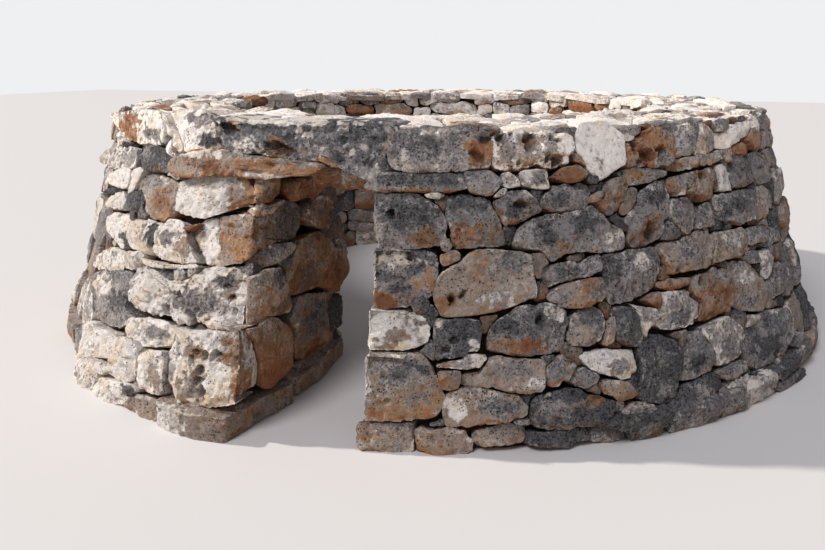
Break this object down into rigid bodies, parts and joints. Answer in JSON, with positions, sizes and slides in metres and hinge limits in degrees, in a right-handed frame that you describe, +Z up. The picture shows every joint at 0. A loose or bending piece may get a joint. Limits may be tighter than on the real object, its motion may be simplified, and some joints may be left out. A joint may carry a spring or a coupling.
{
  "type": "roofless round dry stone hut",
  "caption": "Round field hut of dry-laid limestone with a battered wall, open above, and a low lintelled doorway.",
  "frame": {"origin": "centre of the ring at ground level", "axes": "+Z up; the doorway faces -Y, its passage running along Y a little to the +X side of the centre"},
  "size_m": [5.2, 5.1977, 1.4],
  "materials": {
    "field_limestone": "rough weathered limestone with grey lichen and rust-red earth stains",
    "quoin_limestone": "rough limestone, cream where broken, ochre and red-brown where sheltered",
    "lintel_limestone": "pitted limestone, dark grey lichen above and rust below",
    "footing_blocks": "roughly dressed limestone stained with red earth",
    "head_slabs": "bright broken limestone slabs with grey patches",
    "inner_limestone": "rough grey limestone",
    "hearting_rubble": "loose small rubble and red earth"
  },
  "bodies": {
    "root": {"footing_right_front": "footing_blocks", "outer_face_right_front": "field_limestone", "hearting_right_front": "hearting_rubble", "inner_face_right_front": "inner_limestone", "wall_head_right_front": "head_slabs", "footing_right_rear": "footing_blocks", "outer_face_right_rear": "field_limestone", "hearting_right_rear": "hearting_rubble", "inner_face_right_rear": "inner_limestone", "wall_head_right_rear": "head_slabs", "footing_rear": "footing_blocks", "outer_face_rear": "field_limestone", "hearting_rear": "hearting_rubble", "inner_face_rear": "inner_limestone", "wall_head_rear": "head_slabs", "footing_left_rear": "footing_blocks", "outer_face_left_rear": "field_limestone", "hearting_left_rear": "hearting_rubble", "inner_face_left_rear": "inner_limestone", "wall_head_left_rear": "head_slabs", "footing_left_front": "footing_blocks", "outer_face_left_front": "field_limestone", "hearting_left_front": "hearting_rubble", "inner_face_left_front": "inner_limestone", "wall_head_left_front": "head_slabs", "left_quoin_1": "quoin_limestone", "left_quoin_2": "quoin_limestone", "left_quoin_3": "quoin_limestone", "left_quoin_4": "quoin_limestone", "right_quoin_1": "quoin_limestone", "right_quoin_2": "quoin_limestone", "right_quoin_3": "quoin_limestone", "right_quoin_4": "quoin_limestone", "left_passage_lining": "quoin_limestone", "right_passage_lining": "quoin_limestone", "left_lintel_pad": "lintel_limestone", "right_lintel_pad": "lintel_limestone", "outer_lintel": "lintel_limestone", "middle_lintel": "lintel_limestone", "inner_lintel": "lintel_limestone", "door_cap_slab": "head_slabs"}
  },
  "joints": []
}
